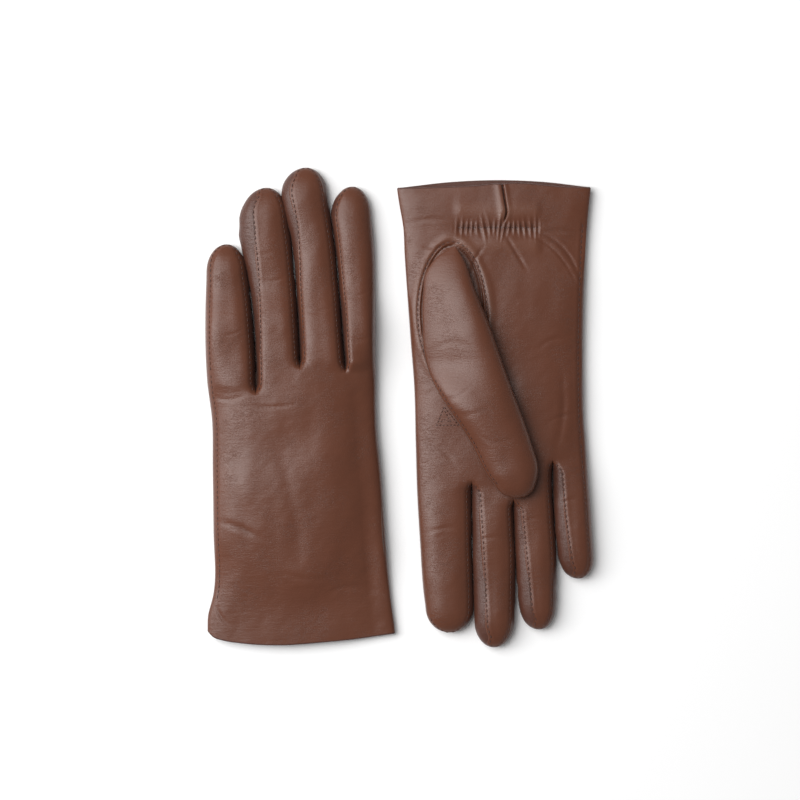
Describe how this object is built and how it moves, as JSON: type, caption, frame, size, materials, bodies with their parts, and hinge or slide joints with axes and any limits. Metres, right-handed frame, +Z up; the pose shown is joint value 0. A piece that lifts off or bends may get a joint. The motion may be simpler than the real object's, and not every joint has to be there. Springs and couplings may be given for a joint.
{
  "type": "pair of dress gloves",
  "caption": "Pair of slim lined leather dress gloves in chestnut brown, left back-up and right palm-up, with gathered wrists and separate bending fingers.",
  "frame": {"origin": "centre of the pair's footprint, on the surface that the gloves lie on", "axes": "+Z up, +Y along the gloves towards the left glove's fingertips, +X from the left glove to the right glove"},
  "size_m": [0.2044, 0.2528, 0.0253],
  "materials": {
    "leather": "satin",
    "lining": "matte",
    "thread": "satin",
    "elastic": "matte"
  },
  "bodies": {
    "left_hand": {"left_hand_leather": "leather", "left_cuff_hem": "leather", "left_hand_lining": "lining", "left_wrist_elastic": "elastic", "left_elastic_stitches": "thread", "left_outseam_stitches": "thread", "left_thumb_hole_stitches": "thread", "left_thumb_base_leather": "leather"},
    "left_index": {"left_index_leather": "leather", "left_index_lining": "lining", "left_index_stitches": "thread", "left_index_fourchette": "leather"},
    "left_middle": {"left_middle_leather": "leather", "left_middle_lining": "lining", "left_middle_stitches": "thread", "left_middle_fourchette_index_side": "leather", "left_middle_fourchette_little_side": "leather"},
    "left_ring": {"left_ring_leather": "leather", "left_ring_lining": "lining", "left_ring_stitches": "thread", "left_ring_fourchette_index_side": "leather", "left_ring_fourchette_little_side": "leather"},
    "left_little": {"left_little_leather": "leather", "left_little_lining": "lining", "left_little_stitches": "thread", "left_little_fourchette": "leather"},
    "left_thumb": {"left_thumb_leather": "leather", "left_thumb_lining": "lining", "left_thumb_stitches": "thread"},
    "right_hand": {"right_hand_leather": "leather", "right_cuff_hem": "leather", "right_hand_lining": "lining", "right_wrist_elastic": "elastic", "right_elastic_stitches": "thread", "right_outseam_stitches": "thread", "right_thumb_hole_stitches": "thread", "right_thumb_base_leather": "leather"},
    "right_index": {"right_index_leather": "leather", "right_index_lining": "lining", "right_index_stitches": "thread", "right_index_fourchette": "leather"},
    "right_middle": {"right_middle_leather": "leather", "right_middle_lining": "lining", "right_middle_stitches": "thread", "right_middle_fourchette_index_side": "leather", "right_middle_fourchette_little_side": "leather"},
    "right_ring": {"right_ring_leather": "leather", "right_ring_lining": "lining", "right_ring_stitches": "thread", "right_ring_fourchette_index_side": "leather", "right_ring_fourchette_little_side": "leather"},
    "right_little": {"right_little_leather": "leather", "right_little_lining": "lining", "right_little_stitches": "thread", "right_little_fourchette": "leather"},
    "right_thumb": {"right_thumb_leather": "leather", "right_thumb_lining": "lining", "right_thumb_stitches": "thread"}
  },
  "joints": [
    {"name": "right_glove_lift", "type": "slide", "parent": "left_hand", "child": "right_hand", "axis": [0, 0, 1], "range_m": [0, 0.1]},
    {"name": "left_index_bend", "type": "hinge", "parent": "left_hand", "child": "left_index", "pos_m": [-0.0215, 0.044, 0.018], "axis": [1, 0, 0], "range_deg": [0, 45]},
    {"name": "left_middle_bend", "type": "hinge", "parent": "left_hand", "child": "left_middle", "pos_m": [-0.042, 0.0495, 0.018], "axis": [1, 0, 0], "range_deg": [0, 45]},
    {"name": "left_ring_bend", "type": "hinge", "parent": "left_hand", "child": "left_ring", "pos_m": [-0.0651, 0.0495, 0.018], "axis": [1, 0, 0], "range_deg": [0, 45]},
    {"name": "left_little_bend", "type": "hinge", "parent": "left_hand", "child": "left_little", "pos_m": [-0.0896, 0.031, 0.018], "axis": [1, 0, 0], "range_deg": [0, 45]},
    {"name": "right_index_bend", "type": "hinge", "parent": "right_hand", "child": "right_index", "pos_m": [0.023, -0.044, 0.012], "axis": [-1, 0, 0], "range_deg": [0, 75]},
    {"name": "right_middle_bend", "type": "hinge", "parent": "right_hand", "child": "right_middle", "pos_m": [0.0487, -0.0495, 0.012], "axis": [-1, 0, 0], "range_deg": [0, 75]},
    {"name": "right_ring_bend", "type": "hinge", "parent": "right_hand", "child": "right_ring", "pos_m": [0.0705, -0.0495, 0.012], "axis": [-1, 0, 0], "range_deg": [0, 75]},
    {"name": "right_little_bend", "type": "hinge", "parent": "right_hand", "child": "right_little", "pos_m": [0.0904, -0.031, 0.012], "axis": [-1, 0, 0], "range_deg": [0, 75]},
    {"name": "left_thumb_swing", "type": "hinge", "parent": "left_hand", "child": "left_thumb", "pos_m": [-0.032, -0.038, 0.0031], "axis": [0, 0, -1], "range_deg": [0, 25]},
    {"name": "right_thumb_lift", "type": "hinge", "parent": "right_hand", "child": "right_thumb", "pos_m": [0.032, 0.03, 0.025], "axis": [-1, 0, 0], "range_deg": [0, 60]}
  ]
}
